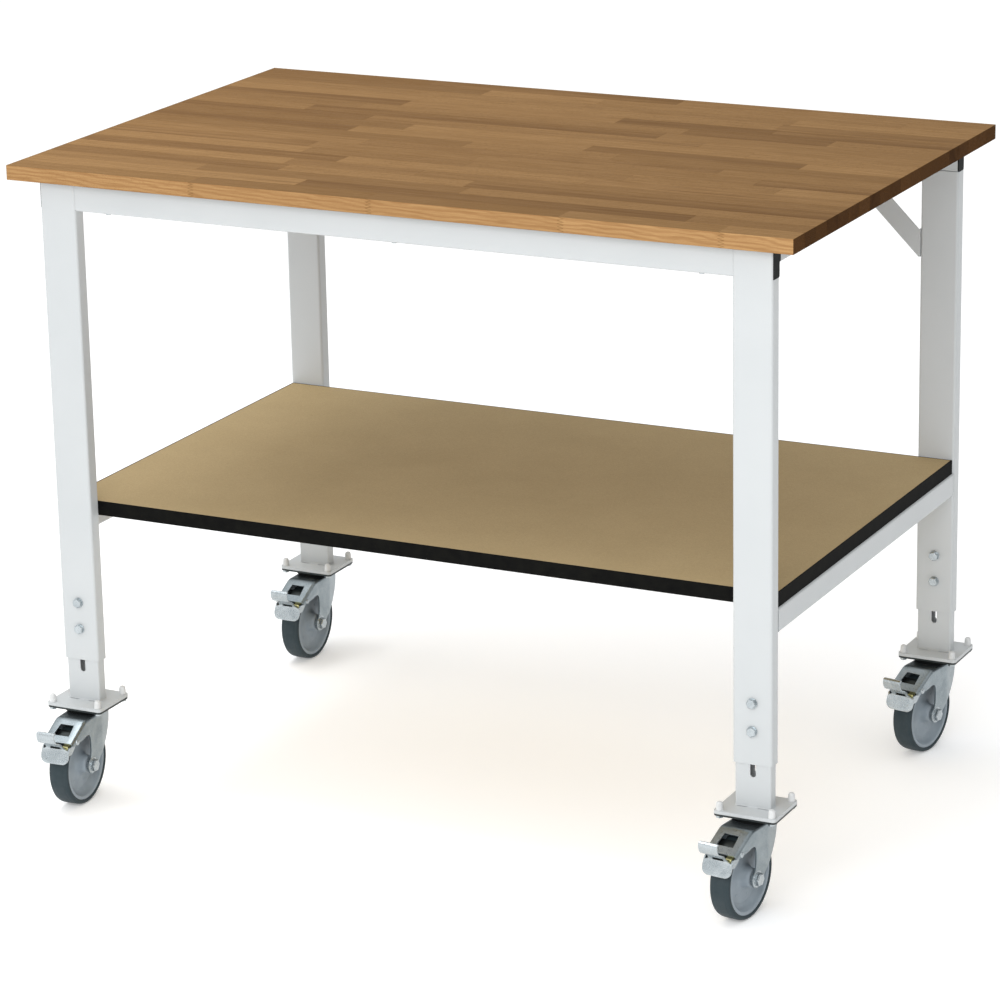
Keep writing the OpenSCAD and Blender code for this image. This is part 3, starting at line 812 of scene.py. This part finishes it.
def build_axle():
    """The axle with its spacers and washers, a head on the right and a nut on the left."""
    bm = bmesh.new()
    r, end, seat, key = 5.9, 29, 27.9, 17 * MM
    lathe(bm, scaled([(0, -end), (r, -end), (r, end), (0, end)]), axle_frame(), count=32)
    spacer = [(r, 20.1), (8.4, 20.1), (9.0, 20.6), (9.0, 23.6), (r, 24.0)]
    for side in (-1, 1):
        lathe(bm, scaled(spacer), axle_frame() @ facing(side), closed=True, count=32)
        washer(bm, 10.4 * MM, 6 * MM, 1.2 * MM, axle_frame(side * 26.9) @ facing(side))
    hex_head(bm, key, 5.6 * MM, axle_frame(seat) @ Matrix.Rotation(0.4, 4, "Z"), 1.1 * MM)
    left = facing(-1)
    hex_nut(bm, key, 5.4 * MM, axle_frame(-seat) @ left @ Matrix.Rotation(0.2, 4, "Z"), 1.0 * MM)
    thread(bm, r * MM, 0, 5.5 * MM, 1.5 * MM, axle_frame(-28) @ left)
    return bm


CASTER_PLATE, BASE_PLATE = 3, 5
CAP_R = 5.4
cap_lo, cap_hi, _ = span("bolt_caps_fl")
HOLE_X = (cap_hi.x - cap_lo.x) / 2 / MM - CAP_R
HOLE_Y = (cap_hi.y - cap_lo.y) / 2 / MM - CAP_R
SPOTS = [(sx * HOLE_X, sy * HOLE_Y) for sx in (-1, 1) for sy in (-1, 1)]


def build_plate_bolts():
    """Four screws up through the caster plate and the base plate."""
    bm = bmesh.new()
    for x, u in SPOTS:
        down = Matrix.Translation(local(x, u, PLATE_Z - CASTER_PLATE)) @ Matrix.Rotation(math.pi, 4, "X")
        hex_head(bm, 10 * MM, 4 * MM, down @ Matrix.Rotation(x + u, 4, "Z"), 0.7 * MM)
        up = Matrix.Translation(local(x, u, PLATE_Z + BASE_PLATE))
        thread(bm, 3 * MM, -8 * MM, 8.8 * MM, 1.0 * MM, up)
    return bm


def build_caps():
    """Domed covers on the ends of the screws."""
    bm = bmesh.new()
    profile = scaled([(0, 10.0), (3.1, 9.6), (3.1, 0), (CAP_R, 0), (CAP_R, 0.7), (5.1, 1.4), (4.9, 7.6),
                      (4.6, 9.6), (3.9, 11.2), (2.4, 12.2), (0, 12.5)])
    for x, u in SPOTS:
        lathe(bm, profile, Matrix.Translation(local(x, u, PLATE_Z + BASE_PLATE)), count=36)
    return bm


def build_foot_weld():
    """The weld bead between the inner leg and its base plate."""
    bm = bmesh.new()
    half_x, half_y, r = 27.5, 9.5, 2.5
    x, y = half_x - r, half_y - r
    points = []
    for cx, cy, start in ((x, y, 0), (-x, y, 90), (-x, -y, 180), (x, -y, 270)):
        for t in (math.radians(start + a) for a in range(0, 91, 30)):
            points.append(local(cx + r * math.cos(t), cy + r * math.sin(t), PLATE_Z + BASE_PLATE))
    dense = []
    for p, q in zip(points, points[1:] + points[:1]):
        steps = max(1, int((q - p).length / (2.2 * MM)))
        dense += [p.lerp(q, k / steps) for k in range(steps)]
    tube(bm, dense, 1.1 * MM, 0.16)
    return bm


# Shape, name, body, slot, material, replaced node and finish of each corner's pieces.
PARTS = [
    (build_fork(), "fork_sheet", "swivel", "zinc", ZINC, "fork",
     dict(smooth=50, solid=FORK_SHEET * MM, bevel=0.5 * MM)),
    (build_fork_details(), "fork_fittings", "swivel", "zinc", ZINC_PAINTED_LIGHTER, None, dict(smooth=35)),
    # The brake plate is near black: a real part, with painted shade behind the fork's window.
    (build_block(BRAKE_PLATE, -18, 18), "brake_plate", "swivel", "zinc", ZINC_PAINTED_SHADE, None,
     dict(smooth=40, bevel=0.3 * MM)),
    (build_axle(), "axle_set", "swivel", "zinc", ZINC_PAINTED_LIGHTER, "axle_bolt",
     dict(smooth=30, bevel=0.2 * MM)),
    (build_pedal(), "pedal_sheet", "pedal", "zinc", ZINC_PAINTED_LIGHTER, "brake_pedal",
     dict(smooth=50, solid=2.2 * MM, bevel=0.4 * MM)),
    (build_block(TONGUE, 9.5, 19.6), "pedal_tongue", "pedal", "zinc", YELLOW, None,
     dict(smooth=30, bevel=0.7 * MM)),
    # The link is near black: a real part, with painted shade between the pedal's arms.
    (build_block(LINK, -19.6, 9.2), "pedal_link", "pedal", "zinc", ZINC_PAINTED_SHADE, None,
     dict(smooth=30, bevel=0.6 * MM)),
    (build_grips(), "pedal_grips", "pedal", "zinc", ZINC_PAINTED_LIGHTER, None, dict(smooth=50)),
    (build_core(), "wheel_disc", "wheel", "wheel_grey", CORE, "wheel_core", dict(smooth=35)),
    (build_tyre(), "tread_ring", "wheel", "tyre", TYRE, "tyre", dict(smooth=40)),
    (build_plate_bolts(), "plate_bolt_set", "foot", "zinc", ZINC_PAINTED_LIGHTER, "plate_bolts",
     dict(smooth=30, bevel=0.2 * MM)),
    (build_caps(), "cap_set", "foot", "white_plastic", WHITE, "bolt_caps", dict(smooth=50)),
    (build_foot_weld(), "foot_weld", "foot", "powder_coat", POWDER, None, dict(smooth=80)),
]
for bm, name, body, slot, mat, node, finish in PARTS:
    places = FOOT_PLACE if body == "foot" else SWIVEL_PLACE
    for c in CORNERS:
        replaced = [f"{node}_{c}"] if node else []
        add(bm, f"{name}_{c}", f"{body}_{c}", slot, [mat], replaced, at=places[c], **finish)


def build_frame_welds():
    """Beads where the shelf rails meet the legs."""
    bm = bmesh.new()
    corner_gap, bead_inset = 2.5 * MM, 0.6 * MM
    for side in ("left", "right"):
        lo, hi, mid = span(f"{side}_shelf_rail")
        for y in (lo.y, hi.y):
            corners = [Vector((x, y, z)) for x, z in ((lo.x, lo.z), (hi.x, lo.z), (hi.x, hi.z), (lo.x, hi.z))]
            path = []
            for p, q in zip(corners, corners[1:] + corners[:1]):
                a = p + (q - p).normalized() * corner_gap
                b = q - (q - p).normalized() * corner_gap
                steps = int((b - a).length / (2.4 * MM))
                path += [a.lerp(b, k / steps) for k in range(steps + 1)]
            for p in path:
                p += (mid - p).normalized() * bead_inset
                p.y = y
            tube(bm, path, 1.0 * MM, 0.18)
    add(bm, "shelf_rail_welds", "frame", "powder_coat", [POWDER], smooth=80)


build_frame_welds()

# ------------------------------------------------------------ stage and camera


def build_stage():
    """A pale floor that keeps a little light of its own, so that it fades to white."""
    bm = bmesh.new()
    bmesh.ops.create_grid(bm, x_segments=1, y_segments=1, size=40)
    mesh = bpy.data.meshes.new("floor")
    bm.to_mesh(mesh)
    s = Shader("floor")
    cloud = s.noise(s.coord, 0.6, 2.0)
    s.colour(s.mix(cloud, (0.93, 0.93, 0.93), (0.95, 0.95, 0.95)))
    s.set(Roughness=0.9, Emission_Color=(1, 1, 1, 1), Emission_Strength=0.22)
    s.shine(0.1)
    mesh.materials.append(s.mat)
    floor = bpy.data.objects.new("floor", mesh)
    bpy.context.scene.collection.objects.link(floor)


def build_light(name, place, target, size, power):
    """A rectangular lamp at a place, turned to its target, with its power in watts."""
    data = bpy.data.lights.new(name, "AREA")
    data.shape = "RECTANGLE"
    data.size, data.size_y = size
    data.energy = power
    lamp = bpy.data.objects.new(name, data)
    lamp.location = place
    lamp.rotation_euler = (Vector(target) - Vector(place)).to_track_quat("-Z", "Y").to_euler()
    bpy.context.scene.collection.objects.link(lamp)


def build_world():
    """An even studio, a little brighter from the front left and above."""
    bright_side, slope, level = (-0.60, -0.55, 0.58), 0.42, 0.74
    world = bpy.data.worlds.new("studio")
    bpy.context.scene.world = world
    world.use_nodes = True
    tree = world.node_tree
    back = tree.nodes["Background"]
    back.inputs[0].default_value = (0.985, 0.995, 1.0, 1)
    coord = tree.nodes.new("ShaderNodeTexCoord")
    dot = tree.nodes.new("ShaderNodeVectorMath")
    dot.operation = "DOT_PRODUCT"
    dot.inputs[1].default_value = bright_side
    strength = tree.nodes.new("ShaderNodeMath")
    strength.operation = "MULTIPLY_ADD"
    strength.inputs[1].default_value = slope
    strength.inputs[2].default_value = level
    tree.links.new(coord.outputs["Generated"], dot.inputs[0])
    tree.links.new(dot.outputs["Value"], strength.inputs[0])
    tree.links.new(strength.outputs[0], back.inputs[1])


def build_camera():
    """The photo's camera: its place in front of the worktop's middle, and its turn."""
    sensor, focal_ratio = 36, 3.940739
    yaw, pitch, roll = 0.4671, 0.3003, -0.0196
    place = Vector((2.578146, -5.158107 + top_mid.y, 2.221433))
    data = bpy.data.cameras.new("camera")
    data.lens = sensor * focal_ratio
    data.sensor_width = sensor
    data.clip_end = 200
    ahead = Vector((-math.sin(yaw) * math.cos(pitch), math.cos(yaw) * math.cos(pitch), -math.sin(pitch)))
    right = Vector((math.cos(yaw), math.sin(yaw), 0))
    above = right.cross(ahead)
    turned_right = math.cos(roll) * right + math.sin(roll) * above
    turned_up = math.cos(roll) * above - math.sin(roll) * right
    pose = Matrix((turned_right, turned_up, -ahead)).transposed().to_4x4()
    pose.translation = place
    camera = bpy.data.objects.new("camera", data)
    camera.matrix_world = pose
    bpy.context.scene.collection.objects.link(camera)
    bpy.context.scene.camera = camera


build_stage()
build_world()
build_light("key", (-1.0, -0.1, 2.5), (-0.3, 0, 0.9), (1.2, 1.2), 21.0)
build_light("fill", (0.7, -3.4, 2.2), (0, 0, 0.6), (2.6, 1.2), 58.0)
build_camera()
bpy.context.scene.view_settings.view_transform = "Standard"
bpy.context.scene.view_settings.look = "None"
